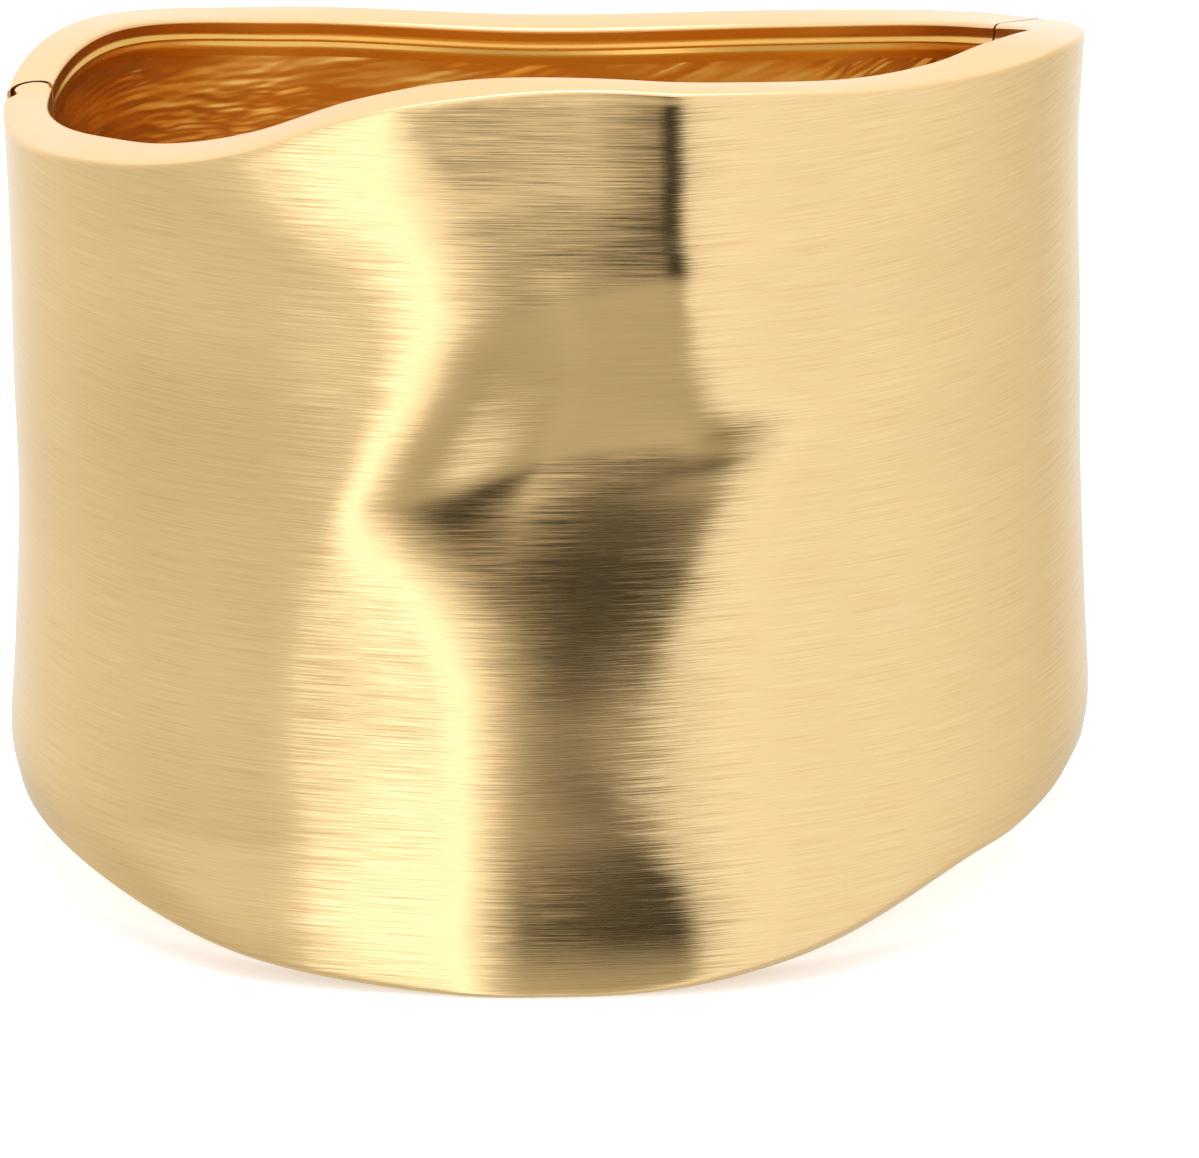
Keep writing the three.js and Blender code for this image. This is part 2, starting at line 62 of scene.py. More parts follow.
# ---- Shape of the wall, as in the part ----

HALF_WIDTH = 33.0
FRONT_DEPTH = 24.0
BACK_DEPTH = 30.0
SHOULDER_FULLNESS = 0.04
PLAN_CENTRE_Y = -2.65

RIM_WIDTH = 2.8
WALL = 1.6
FLANGE_HEIGHT = 2.8
FLANGE_BEAD = 0.15
FLANGE_EDGE = 0.35
OUTER_EDGE_ROUND = 0.25
INNER_EDGE_ROUND = 0.3

# Clearance between pieces, and the finer joint line of the two halves at the hinge.
GAP = 0.3
HINGE_LINE = 0.12
HINGE_X, HINGE_Y = (1000 * value for value in HINGE_JOINT["pos_m"][:2])
HINGE_ANGLE = 174.9
KNUCKLES = 5
BARREL_RADIUS = 1.05
PIN_RADIUS = 0.4
PIN_COVER = 1.5
HINGE_RELIEF = 45.0
CLASP_ANGLE = 23.0
CLASP_REACH = 7.0
CLASP_LOW, CLASP_HIGH = 17.0, 33.0
TONGUE_INNER, TONGUE_OUTER = -2.6, -1.6
REBATE_DEPTH = 1.55
REBATE_MARGIN = 0.7

# Cast relief of the inner wall: its height, and how its waves turn in radians per millimetre.
CAST_RIPPLE = 0.16
STREAKS = {"share": 0.6, "up": 1.05, "along": 0.3, "sway": 1.4, "sway_along": 0.23}
PATCHES = {"along": 0.37, "slope": 0.5, "up": 0.61, "start": 0.9}

# How much of the outer wall's shape the flange and the thin wall follow on the inside.
FLANGE_FOLLOWS = 0.6
RECESS_FOLLOWS = 0.7

# Height of the rim round the plan, and how much higher its inner edge is than its outer edge.
RIM = [
    {"angle": 0, "height": 53.5, "tilt": 0.1},
    {"angle": 30, "height": 48.6, "tilt": 0.0},
    {"angle": 60, "height": 44.9, "tilt": 0.0},
    {"angle": 90, "height": 43.7, "tilt": 0.0},
    {"angle": 120, "height": 45.8, "tilt": 0.0},
    {"angle": 150, "height": 49.2, "tilt": 0.0},
    {"angle": 180, "height": 49.8, "tilt": 0.3},
    {"angle": 200, "height": 50.6, "tilt": 0.7},
    {"angle": 215, "height": 51.9, "tilt": 0.55},
    {"angle": 226, "height": 52.95, "tilt": 0.35},
    {"angle": 238, "height": 54.65, "tilt": 0.35},
    {"angle": 250, "height": 57.1, "tilt": 0.35},
    {"angle": 262, "height": 58.4, "tilt": 0.4},
    {"angle": 275, "height": 59.0, "tilt": -0.05},
    {"angle": 290, "height": 58.5, "tilt": -0.2},
    {"angle": 305, "height": 57.7, "tilt": -0.2},
    {"angle": 317, "height": 57.2, "tilt": 0.1},
    {"angle": 327, "height": 56.7, "tilt": 0.6},
    {"angle": 340, "height": 55.8, "tilt": 0.5},
]

# The lower edge is flat but for an arch under each side. Reaches are in degrees.
ARCHES = [
    {"angle": 190, "rise": 5.1, "reach_below": 55, "reach_above": 75},
    {"angle": 345, "rise": 6.6, "reach_below": 72, "reach_above": 60},
]

# Bevel along the outer lower edge round the plan.
LOWER_BEVEL = [
    {"angle": 0, "size": 0.5},
    {"angle": 60, "size": 0.4},
    {"angle": 180, "size": 0.35},
    {"angle": 275, "size": 0.35},
    {"angle": 292, "size": 0.7},
    {"angle": 310, "size": 1.1},
    {"angle": 319, "size": 0.9},
    {"angle": 326, "size": 0.3},
    {"angle": 336, "size": 0.3},
    {"angle": 346, "size": 0.8},
]

# How far the wall leans out of the plan outline, by its share of the height: in the middle of
# the front and back, and at the left and right sides.
LEAN = [
    {"share": 0.0, "middle": -0.3, "left": 0.5, "right": 0.5},
    {"share": 0.07, "middle": 0.05, "left": 1.02, "right": 1.0},
    {"share": 0.2, "middle": 0.25, "left": 0.6, "right": 0.78},
    {"share": 0.42, "middle": -0.1, "left": 0.0, "right": 0.45},
    {"share": 0.62, "middle": -0.2, "left": 0.0, "right": 0.4},
    {"share": 0.85, "middle": 0.0, "left": -0.1, "right": 0.25},
    {"share": 1.0, "middle": 0.3, "left": 0.0, "right": 0.6},
]

# The front is beaten into panels. Across each height the left panel ends at panel_x, the wall
# turns to the front at band_x, enters the hollow at shade_x and breaks over a ridge at ridge_x,
# within ridge_half to either side.
FOLD_PLACES = [
    {"height": 0, "panel_x": -14.5, "band_x": -6.4, "shade_x": -1.7, "ridge_x": 8.4, "ridge_half": 1.0},
    {"height": 4, "panel_x": -14.5, "band_x": -6.4, "shade_x": -1.7, "ridge_x": 8.2, "ridge_half": 1.0},
    {"height": 7, "panel_x": -14.5, "band_x": -6.3, "shade_x": -1.9, "ridge_x": 7.4, "ridge_half": 1.2},
    {"height": 11, "panel_x": -14.8, "band_x": -6.5, "shade_x": -2.1, "ridge_x": 5.6, "ridge_half": 1.6},
    {"height": 15, "panel_x": -15.5, "band_x": -6.7, "shade_x": -2.1, "ridge_x": 5.6, "ridge_half": 1.8},
    {"height": 19, "panel_x": -15.5, "band_x": -6.9, "shade_x": -2.0, "ridge_x": 6.4, "ridge_half": 1.4},
    {"height": 23, "panel_x": -15.0, "band_x": -8.0, "shade_x": -1.8, "ridge_x": 6.9, "ridge_half": 1.0},
    {"height": 26, "panel_x": -14.4, "band_x": -8.9, "shade_x": -2.8, "ridge_x": 8.2, "ridge_half": 1.0},
    {"height": 29, "panel_x": -14.0, "band_x": -9.4, "shade_x": -5.0, "ridge_x": 9.4, "ridge_half": 1.0},
    {"height": 32, "panel_x": -13.4, "band_x": -9.6, "shade_x": -5.6, "ridge_x": 10.1, "ridge_half": 1.0},
    {"height": 35, "panel_x": -12.2, "band_x": -9.0, "shade_x": -5.2, "ridge_x": 10.6, "ridge_half": 1.2},
    {"height": 38, "panel_x": -11.2, "band_x": -7.8, "shade_x": -4.2, "ridge_x": 9.8, "ridge_half": 1.6},
    {"height": 41.5, "panel_x": -10.4, "band_x": -6.4, "shade_x": -2.8, "ridge_x": 9.2, "ridge_half": 1.4},
    {"height": 45, "panel_x": -10.4, "band_x": -5.8, "shade_x": -2.0, "ridge_x": 8.4, "ridge_half": 0.8},
    {"height": 48, "panel_x": -12.0, "band_x": -7.8, "shade_x": -2.6, "ridge_x": 8.1, "ridge_half": 0.8},
    {"height": 51, "panel_x": -15.4, "band_x": -11.6, "shade_x": -6.0, "ridge_x": 8.0, "ridge_half": 0.8},
    {"height": 55, "panel_x": -18.4, "band_x": -14.8, "shade_x": -9.6, "ridge_x": 8.0, "ridge_half": 0.8},
    {"height": 58, "panel_x": -20.0, "band_x": -16.8, "shade_x": -11.6, "ridge_x": 8.0, "ridge_half": 0.8},
]

# The way the wall faces there, in degrees from -Y: at the panel's end, on the band, at the
# hollow's edge, on its floor and at the brink of the ridge, and the ridge's extra turn.
FOLD_HEADINGS = [
    {"height": 0, "panel": -12.0, "band": -10.2, "shade": -1.2, "floor": 0.8, "brink": 2.6, "step": 5.5},
    {"height": 4, "panel": -12.2, "band": -10.2, "shade": -1.4, "floor": 0.6, "brink": 2.4, "step": 6.0},
    {"height": 7, "panel": -12.4, "band": -10.4, "shade": -1.8, "floor": 1.0, "brink": 2.8, "step": 5.6},
    {"height": 11, "panel": -12.6, "band": -10.4, "shade": -2.4, "floor": 2.4, "brink": 4.2, "step": 4.3},
    {"height": 15, "panel": -13.0, "band": -10.7, "shade": -2.8, "floor": 4.2, "brink": 5.0, "step": 3.5},
    {"height": 19, "panel": -13.0, "band": -10.7, "shade": -2.7, "floor": 3.8, "brink": 5.0, "step": 3.5},
    {"height": 23, "panel": -12.8, "band": -10.4, "shade": -2.0, "floor": 3.0, "brink": 5.0, "step": 4.0},
    {"height": 26, "panel": -12.9, "band": -10.2, "shade": -1.6, "floor": 2.4, "brink": 5.2, "step": 4.3},
    {"height": 29, "panel": -13.8, "band": -9.8, "shade": -1.8, "floor": 2.4, "brink": 5.2, "step": 4.8},
    {"height": 32, "panel": -14.8, "band": -10.8, "shade": -2.8, "floor": 2.6, "brink": 4.8, "step": 5.2},
    {"height": 35, "panel": -15.0, "band": -12.6, "shade": -3.8, "floor": 1.5, "brink": 3.4, "step": 6.1},
    {"height": 38, "panel": -15.2, "band": -12.6, "shade": -4.4, "floor": -1.2, "brink": 0.0, "step": 9.2},
    {"height": 41.5, "panel": -15.2, "band": -12.6, "shade": -4.6, "floor": -0.6, "brink": 0.5, "step": 8.5},
    {"height": 45, "panel": -14.8, "band": -12.0, "shade": -6.6, "floor": -1.6, "brink": -0.3, "step": 9.0},
    {"height": 48, "panel": -14.0, "band": -11.0, "shade": -6.8, "floor": -4.2, "brink": -2.6, "step": 10.7},
    {"height": 51, "panel": -13.0, "band": -8.6, "shade": -5.4, "floor": -5.0, "brink": -2.6, "step": 10.9},
    {"height": 55, "panel": -13.0, "band": -6.6, "shade": -5.4, "floor": -5.0, "brink": -2.6, "step": 10.9},
    {"height": 58, "panel": -13.0, "band": -6.4, "shade": -5.4, "floor": -4.8, "brink": -2.6, "step": 10.9},
]
FLOOR_X = 3.0

# How far beside the panel's end and beside the ridge the folds begin.
LEFT_REACH = 5.0
RIGHT_REACH = 9.0

# How far the hollow is pushed out besides, which sinks a dent half-way up and flares the foot.
# The push grows over HOLLOW_REACH from the column left on, and climbs to the right by the slant.
HOLLOW = [
    {"height": 0, "out": 1.22, "slant": 0.0, "left": -30.0},
    {"height": 2, "out": 1.05, "slant": 0.0, "left": -30.0},
    {"height": 4, "out": 0.77, "slant": 0.0, "left": -30.0},
    {"height": 6, "out": 0.38, "slant": 0.0, "left": -30.0},
    {"height": 8, "out": 0.12, "slant": 0.0, "left": -29.0},
    {"height": 10, "out": 0.0, "slant": 0.02, "left": -20.0},
    {"height": 13, "out": 0.0, "slant": 0.04, "left": -15.0},
    {"height": 17, "out": 0.06, "slant": 0.08, "left": -15.5},
    {"height": 20, "out": 0.12, "slant": 0.12, "left": -15.5},
    {"height": 23, "out": 0.1, "slant": 0.15, "left": -15.0},
    {"height": 26, "out": 0.0, "slant": 0.18, "left": -14.4},
    {"height": 29, "out": -0.15, "slant": 0.2, "left": -14.0},
    {"height": 32, "out": -0.62, "slant": 0.22, "left": -13.4},
    {"height": 34, "out": -1.15, "slant": 0.24, "left": -12.6},
    {"height": 35, "out": -1.4, "slant": 0.24, "left": -12.2},
    {"height": 36, "out": -1.5, "slant": 0.25, "left": -12.0},
    {"height": 38, "out": -1.36, "slant": 0.25, "left": -11.2},
    {"height": 41, "out": -1.05, "slant": 0.25, "left": -10.4},
    {"height": 44, "out": -0.85, "slant": 0.24, "left": -10.4},
    {"height": 46, "out": -0.62, "slant": 0.22, "left": -11.0},
    {"height": 48, "out": -0.42, "slant": 0.2, "left": -12.0},
    {"height": 50, "out": -0.05, "slant": 0.18, "left": -14.5},
    {"height": 52, "out": 0.28, "slant": 0.16, "left": -16.2},
    {"height": 54, "out": 0.42, "slant": 0.14, "left": -17.6},
    {"height": 56, "out": 0.62, "slant": 0.12, "left": -19.0},
    {"height": 60, "out": 0.95, "slant": 0.1, "left": -20.5},
]
HOLLOW_X = 2.0
HOLLOW_REACH = 12.0

# Where across the front the folds fade into the plain wall on the right, and how squarely the
# wall must face the front to have any.
RIGHT_FADE = (14.0, 30.0)
FRONT_FADE = (0.1, 0.5)

# Soft swells of the front.
SWELLS = [
    {"x": -21.0, "height": 41.0, "half_width": 10.0, "half_height": 6.5, "rise": 0.3},
]


def lerp(start, end, share):
    return start + (end - start) * share


def clamp(value, low=0.0, high=1.0):
    return max(low, min(high, value))


def smoothstep(value, low, high):
    share = clamp((value - low) / (high - low))
    return share * share * (3 - 2 * share)


def read(rows, key, column, at, period=0):
    """A table's column on a smooth curve through its rows. A period closes the curve on itself."""
    count = len(rows)
    first = rows[0][key]
    place = (at - first) % period + first if period else at

    def row(index):
        turns = index // count if period else 0
        kept = rows[max(0, min(count - 1, index - turns * count))]
        return kept[key] + turns * period, kept[column]

    last = count - 1 if period else count - 2
    index = 0
    while index < last and row(index + 1)[0] <= place:
        index += 1
    before, start, end, after = (row(index + step) for step in (-1, 0, 1, 2))
    span = end[0] - start[0]
    share = clamp((place - start[0]) / span)
    start_slope = (end[1] - before[1]) * span / (end[0] - before[0])
    end_slope = (after[1] - start[1]) * span / (after[0] - start[0])
    blended = lerp(start[1], end[1], share * share * (3 - 2 * share))
    return blended + share * (1 - share) * ((1 - share) * start_slope - share * end_slope)


def plan_point(angle):
    turn = math.radians(angle)
    depth = FRONT_DEPTH if math.sin(turn) < 0 else BACK_DEPTH
    fullness = 1 + SHOULDER_FULLNESS * math.sin(2 * turn) ** 2
    return Vector((HALF_WIDTH * math.cos(turn), depth * math.sin(turn))) * fullness


def plan_normal(angle):
    step = 0.01
    along = (plan_point(angle + step) - plan_point(angle - step)).normalized()
    return Vector((along.y, -along.x))


def wall_point(angle, offset):
    """A point at an offset out of the plan outline, in the part's frame."""
    point = plan_point(angle) + plan_normal(angle) * offset
    return Vector((point.x, point.y + PLAN_CENTRE_Y))


def rim_height(angle):
    return read(RIM, "angle", "height", angle, 360)


def base_height(angle):
    height = 0.0
    for arch in ARCHES:
        away = (angle - arch["angle"] + 180) % 360 - 180
        share = abs(away) / (arch["reach_below"] if away < 0 else arch["reach_above"])
        if share < 1:
            height += arch["rise"] * math.cos(share * math.pi / 2) ** 2
    return height


def lean(angle, share):
    """How far the wall leans out at a plan angle and a share of its height."""
    across = math.cos(math.radians(angle))
    side = "right" if across > 0 else "left"
    middle = read(LEAN, "share", "middle", share)
    return lerp(middle, read(LEAN, "share", side, share), across * across)


def plan_heading(x):
    """The way the smooth oval faces at a place across the front, in degrees from -Y."""
    side = math.asin(x / HALF_WIDTH)
    side = math.asin(x / (HALF_WIDTH * (1 + SHOULDER_FULLNESS * math.sin(2 * side) ** 2)))
    fullness = 1 + SHOULDER_FULLNESS * math.sin(2 * side) ** 2
    growth = 2 * SHOULDER_FULLNESS * math.sin(4 * side)
    across = HALF_WIDTH * (math.cos(side) * fullness + math.sin(side) * growth)
    back = FRONT_DEPTH * (math.sin(side) * fullness - math.cos(side) * growth)
    return math.degrees(math.atan2(back, across))


def fold_rise(x, height):
    """How far the folds lift the wall: the sum of the wall's extra turns from the left on."""
    panel_x, band_x, shade_x, ridge_x, ridge_half = (
        read(FOLD_PLACES, "height", column, height)
        for column in ("panel_x", "band_x", "shade_x", "ridge_x", "ridge_half")
    )
    panel, band, shade, floor, brink, step = (
        read(FOLD_HEADINGS, "height", column, height)
        for column in ("panel", "band", "shade", "floor", "brink", "step")
    )
    stations = [
        (panel_x - LEFT_REACH, None),
        (panel_x, panel),
        (band_x, band),
        (shade_x, shade),
        (FLOOR_X, floor),
        (ridge_x - ridge_half, brink),
        (ridge_x + ridge_half, brink + step),
        (ridge_x + RIGHT_REACH, None),
    ]
    turns = [(at, 0.0 if heading is None else heading - plan_heading(at)) for at, heading in stations]

    def climb(x):
        climbed = 0.0
        for (start, start_turn), (end, end_turn) in zip(turns, turns[1:]):
            reach = clamp(x - start, 0, end - start)
            turn_here = lerp(start_turn, end_turn, reach / (end - start))
            climbed -= math.radians(start_turn + turn_here) / 2 * reach
        return climbed

    wave_height = height - read(HOLLOW, "height", "slant", height) * (x - HOLLOW_X)
    out = read(HOLLOW, "height", "out", wave_height)
    left = read(HOLLOW, "height", "left", height)
    left_share = smoothstep(x, left, left + HOLLOW_REACH)
    right_share = smoothstep(x, *RIGHT_FADE)
    return climb(x) + out * left_share * (1 - right_share) - climb(HALF_WIDTH) * right_share


def front_rise(angle, height):
    """Folds, swells and hollows of the front at a place on the wall."""
    front_share = smoothstep(-math.sin(math.radians(angle)), *FRONT_FADE)
    if front_share == 0:
        return 0.0
    x = plan_point(angle).x
    rise = fold_rise(x, height)
    for swell in SWELLS:
        across = (x - swell["x"]) / swell["half_width"]
        up = (height - swell["height"]) / swell["half_height"]
        rise += swell["rise"] * math.exp(-across * across - up * up)
    return rise * front_share


def cast_ripple(angle, height):
    """Rough cast streaks on the inner wall, which climb a little as they run round."""
    along = math.radians(angle) * FRONT_DEPTH
    sway = STREAKS["sway"] * math.sin(STREAKS["sway_along"] * along)
    streaks = math.sin(STREAKS["up"] * height - STREAKS["along"] * along + sway)
    lumps = math.sin(PATCHES["along"] * along + PATCHES["slope"] * height)
    patches = lumps * math.sin(PATCHES["up"] * height + PATCHES["start"])
    return CAST_RIPPLE * lerp(patches, streaks, STREAKS["share"])


# ---- The section through the wall, and the cuff rolled up from it ----

SATIN, BUFFED, CAST, SMOOTH = range(4)
# The plan angles where the wall is solid to its full width, at the clasp and at the hinge.
END_FLANGES = [(14, 32), (166, 183)]
EDGE_STEPS = 5
FLANGE_STEPS = 20
# The share of the flange's height that its bead reaches to either side of the middle.
BEAD_REACH = 0.13
# The lower bevel's height for its depth, and how far it bulges for its depth.
BEVEL_STEEPNESS = 1.2
BEVEL_SWELL = 0.12
MERGE_DISTANCE = 1e-7


def is_end_flange(angle):
    return any(low - 0.01 < angle % 360 < high + 0.01 for low, high in END_FLANGES)


def section(angle, outer_rows, recess_rows):
    """The closed section at a plan angle: rows of offset, height, way along the surface, finish."""
    top = rim_height(angle)
    inner_top = top + read(RIM, "angle", "tilt", angle, 360)
    base = base_height(angle)
    bevel = read(LOWER_BEVEL, "angle", "size", angle, 360)
    solid_end = is_end_flange(angle)

    def outer(height):
        return lean(angle, (height - base) / (top - base)) + front_rise(angle, height)

    def inner(height):
        return FLANGE_FOLLOWS * outer(height) - RIM_WIDTH

    def recess(height):
        if solid_end:
            return inner(height)
        return RECESS_FOLLOWS * outer(height) - WALL + cast_ripple(angle, height)

    rows = []

    def corner(offset, height, radius, start, end, along, finish):
        """A rounded corner about a centre, turned from one angle to the other."""
        for step in range(EDGE_STEPS + 1):
            turn = math.radians(lerp(start, end, step / EDGE_STEPS))
            way = along + radius * math.radians(abs(end - start)) * step / EDGE_STEPS
            rows.append((offset + radius * math.cos(turn), height + radius * math.sin(turn), way, finish))

    def flange(high, low):
        for step in range(FLANGE_STEPS + 1):
            share = step / FLANGE_STEPS
            height = lerp(high, low, share)
            bead = FLANGE_BEAD * math.exp(-(((share - 0.5) / BEAD_REACH) ** 2))
            rows.append((inner(height) - bead, height, top + RIM_WIDTH + inner_top - height, SMOOTH))

    bevel_top = base + BEVEL_STEEPNESS * bevel
    for step in range(EDGE_STEPS):
        share = step / EDGE_STEPS
        height = lerp(base, bevel_top, share)
        swell = BEVEL_SWELL * bevel * math.sin(math.pi * share)
        rows.append((outer(height) - bevel * (1 - share) + swell, height, height, SATIN))
    for row in range(outer_rows):
        height = lerp(bevel_top, top - OUTER_EDGE_ROUND, row / outer_rows)
        rows.append((outer(height), height, height, SATIN))
    edge = outer(top) - OUTER_EDGE_ROUND
    corner(edge, top - OUTER_EDGE_ROUND, OUTER_EDGE_ROUND, 0, 90, top - OUTER_EDGE_ROUND, BUFFED)
    edge = inner(top) + INNER_EDGE_ROUND
    corner(edge, inner_top - INNER_EDGE_ROUND, INNER_EDGE_ROUND, 90, 180, top + RIM_WIDTH, BUFFED)
    flange(inner_top - INNER_EDGE_ROUND, inner_top - FLANGE_HEIGHT + FLANGE_EDGE)
    for row in range(recess_rows + 1):
        height = lerp(inner_top - FLANGE_HEIGHT, base + FLANGE_HEIGHT, row / recess_rows)
        finish = SMOOTH if row == recess_rows else CAST
        rows.append((recess(height), height, top + RIM_WIDTH + inner_top - height, finish))
    flange(base + FLANGE_HEIGHT - FLANGE_EDGE, base + INNER_EDGE_ROUND)
    rows.append((inner(base) + INNER_EDGE_ROUND, base, top + RIM_WIDTH + inner_top - base, BUFFED))
    return rows


def rolled_cuff(name, start, end, columns, outer_rows, recess_rows):
    """A stretch of the cuff as a closed solid: a grid rolled up round the plan and the section."""
    angles = [lerp(start, end, column / columns) for column in range(columns + 1)]
    sections = [section(angle, outer_rows, recess_rows) for angle in angles]
    ways = [0.0]
    for before, angle in zip(angles, angles[1:]):
        ways.append(ways[-1] + (plan_point(angle) - plan_point(before)).length)
    rows = len(sections[0])
    shape = bmesh.new()
    uv = shape.loops.layers.uv.new("surface_way")
    bmesh.ops.create_grid(shape, x_segments=columns, y_segments=rows, size=0.5)
    shape.verts.ensure_lookup_table()
    places = {
        vert: (round((vert.co.x + 0.5) * columns), round((vert.co.y + 0.5) * rows))
        for vert in shape.verts
    }
    for face in shape.faces:
        low_row = min(places[vert][1] for vert in face.verts)
        face.material_index = sections[0][low_row][3]
        face.smooth = True
        for loop in face.loops:
            column, row = places[loop.vert]
            closing = WALL if row == rows else 0.0
            along = sections[column][row % rows][2] if row < rows else sections[column][rows - 1][2]
            loop[uv].uv = (ways[column], along + closing)
    for vert, (column, row) in places.items():
        offset, height = sections[column][row % rows][:2]
        point = wall_point(angles[column], offset)
        vert.co = Vector((point.x, point.y, height)) * MM
    bmesh.ops.remove_doubles(shape, verts=shape.verts, dist=MERGE_DISTANCE)
    rim_edges = [edge for edge in shape.edges if edge.is_boundary]
    bmesh.ops.holes_fill(shape, edges=rim_edges, sides=0)
    bmesh.ops.recalc_face_normals(shape, faces=shape.faces)
    return object_of(name, shape)


def object_of(name, shape, materials=()):
    mesh = bpy.data.meshes.new(name)
    shape.to_mesh(mesh)
    shape.free()
    for material in materials:
        mesh.materials.append(material)
    piece = bpy.data.objects.new(name, mesh)
    bpy.context.scene.collection.objects.link(piece)
    return piece


# ---- Cutters for the joints ----

# Reaches that are well past the bangle's outline and past its rim.
FAR = 90.0
TALL = 80.0
# Where the clasp's joint face starts and ends, measured from the hinge.
CLASP_FACE = (30.0, 110.0)
# How far the hinge's joint runs inwards, and how far each half is rolled past its joints.
HINGE_INSIDE = 9.0
OVERLAP = 6.0
EDGE_SOFTNESS = 0.12
SHARP_ANGLE = math.radians(38)


def prism(name, outline, low, high):
    """An upright block over a plan outline."""
    shape = bmesh.new()
    verts = [shape.verts.new(Vector((x, y, low)) * MM) for x, y in outline]
    bottom = shape.faces.new(verts)
    top = bmesh.ops.extrude_face_region(shape, geom=[bottom])["geom"]
    raised = [item for item in top if isinstance(item, bmesh.types.BMVert)]
    bmesh.ops.translate(shape, verts=raised, vec=(0, 0, (high - low) * MM))
    bmesh.ops.recalc_face_normals(shape, faces=shape.faces)
    return object_of(name, shape)


def hinge_rod(name, radius, low, high, segments=48):
    """An upright rod on the hinge axis."""
    shape = bmesh.new()
    middle = Vector((HINGE_X, HINGE_Y, (low + high) / 2)) * MM
    bmesh.ops.create_cone(
        shape,
        cap_ends=True,
        segments=segments,
        radius1=radius * MM,
        radius2=radius * MM,
        depth=(high - low) * MM,
        matrix=Matrix.Translation(middle),
    )
    return object_of(name, shape)


def clasp_outline(reach, inner, outer, steps=16):
    """A curved strip of the wall across the clasp's joint, between two offsets."""
    angles = [CLASP_ANGLE + lerp(-reach, reach, step / steps) for step in range(steps + 1)]
    outline = [wall_point(angle, outer) for angle in angles]
    return outline + [wall_point(angle, inner) for angle in reversed(angles)]


def on_clasp_face(distance, side):
    """A point on the clasp's joint face, which lies on a ray from the hinge, moved to one side."""
    hinge = Vector((HINGE_X, HINGE_Y))
    direction = (wall_point(CLASP_ANGLE, -RIM_WIDTH / 2) - hinge).normalized()
    sideways = Vector((-direction.y, direction.x))
    return hinge + direction * distance + sideways * side * GAP / 2


def front_region():
    relief = math.radians(180 + HINGE_RELIEF)
    start = Vector((HINGE_X, HINGE_Y - HINGE_LINE / 2))
    slope_end = start + Vector((math.cos(relief), math.sin(relief))) * FAR
    near_face, far_face = (on_clasp_face(distance, -1) for distance in CLASP_FACE)
    inside = Vector((HINGE_X + HINGE_INSIDE, start.y))
    return [start, slope_end, Vector((FAR, -FAR)), far_face, near_face, inside]


def back_region():
    line = HINGE_Y + HINGE_LINE / 2
    near_face, far_face = (on_clasp_face(distance, 1) for distance in CLASP_FACE)
    start, inside = Vector((-FAR, line)), Vector((HINGE_X + HINGE_INSIDE, line))
    return [start, inside, near_face, far_face, Vector((FAR, FAR)), Vector((-FAR, FAR))]


def knuckle_spans():
    """Knuckles along the hinge from the lower edge up: even ones belong to the front half."""
    low = base_height(HINGE_ANGLE)
    pitch = (rim_height(HINGE_ANGLE) - low + GAP) / KNUCKLES
    spans = []
    for index in range(KNUCKLES):
        start = -TALL if index == 0 else low + index * pitch
        end = TALL if index == KNUCKLES - 1 else low + (index + 1) * pitch - GAP
        spans.append((start, end, index % 2 == 0))
    return spans


def cut(piece, cutter, operation):
    """Cuts, joins or keeps the overlap with another solid, and takes that solid away."""
    modifier = piece.modifiers.new(operation.lower(), "BOOLEAN")
    modifier.operation = operation
    modifier.solver = "MANIFOLD"
    modifier.object = cutter
    bpy.context.view_layer.update()
    evaluated = piece.evaluated_get(bpy.context.evaluated_depsgraph_get())
    mesh = bpy.data.meshes.new_from_object(evaluated)
    piece.modifiers.clear()
    piece.data = mesh
    bpy.data.objects.remove(cutter)


def half(name, is_front, sizes, materials):
    """One half of the cuff, with its knuckles, sockets, pin bore and clasp rebate."""
    if is_front:
        start, end = HINGE_ANGLE - OVERLAP, CLASP_ANGLE + 360 + OVERLAP
        columns, outer_rows, recess_rows = sizes.front_columns, sizes.front_rows, sizes.front_recess_rows
    else:
        start, end = CLASP_ANGLE - OVERLAP, HINGE_ANGLE + OVERLAP
        columns, outer_rows, recess_rows = sizes.back_columns, sizes.back_rows, sizes.back_recess_rows
    piece = rolled_cuff(name, start, end, columns, outer_rows, recess_rows)
    barrels = []
    for low, high, front in knuckle_spans():
        if front == is_front:
            barrel = piece.copy()
            barrel.data = piece.data.copy()
            bpy.context.scene.collection.objects.link(barrel)
            cut(barrel, hinge_rod("barrel", BARREL_RADIUS, low, high), "INTERSECT")
            barrels.append(barrel)
    region = front_region() if is_front else back_region()
    cut(piece, prism("region", region, -TALL, TALL), "INTERSECT")
    for low, high, front in knuckle_spans():
        if front != is_front:
            cut(piece, hinge_rod("socket", BARREL_RADIUS + GAP, low - GAP, high + GAP), "DIFFERENCE")
    for barrel in barrels:
        cut(piece, barrel, "UNION")
    bore_top = rim_height(HINGE_ANGLE) - PIN_COVER
    cut(piece, hinge_rod("bore", PIN_RADIUS + GAP, -TALL, bore_top), "DIFFERENCE")
    outline = clasp_outline(
        CLASP_REACH + REBATE_MARGIN, -RIM_WIDTH - REBATE_DEPTH, REBATE_DEPTH - RIM_WIDTH
    )
    cut(piece, prism("rebate", outline, CLASP_LOW - GAP, CLASP_HIGH + GAP), "DIFFERENCE")
    finish_mesh(piece, materials)
    return piece


def hinge_pin(material):
    """The hinge wire, with its ends rounded over."""
    low = base_height(HINGE_ANGLE) + GAP
    pin = hinge_rod("drawn_hinge_pin", PIN_RADIUS, low, rim_height(HINGE_ANGLE) - PIN_COVER - GAP)
    soften(pin, EDGE_SOFTNESS)
    finish_mesh(pin, [material])
    return pin


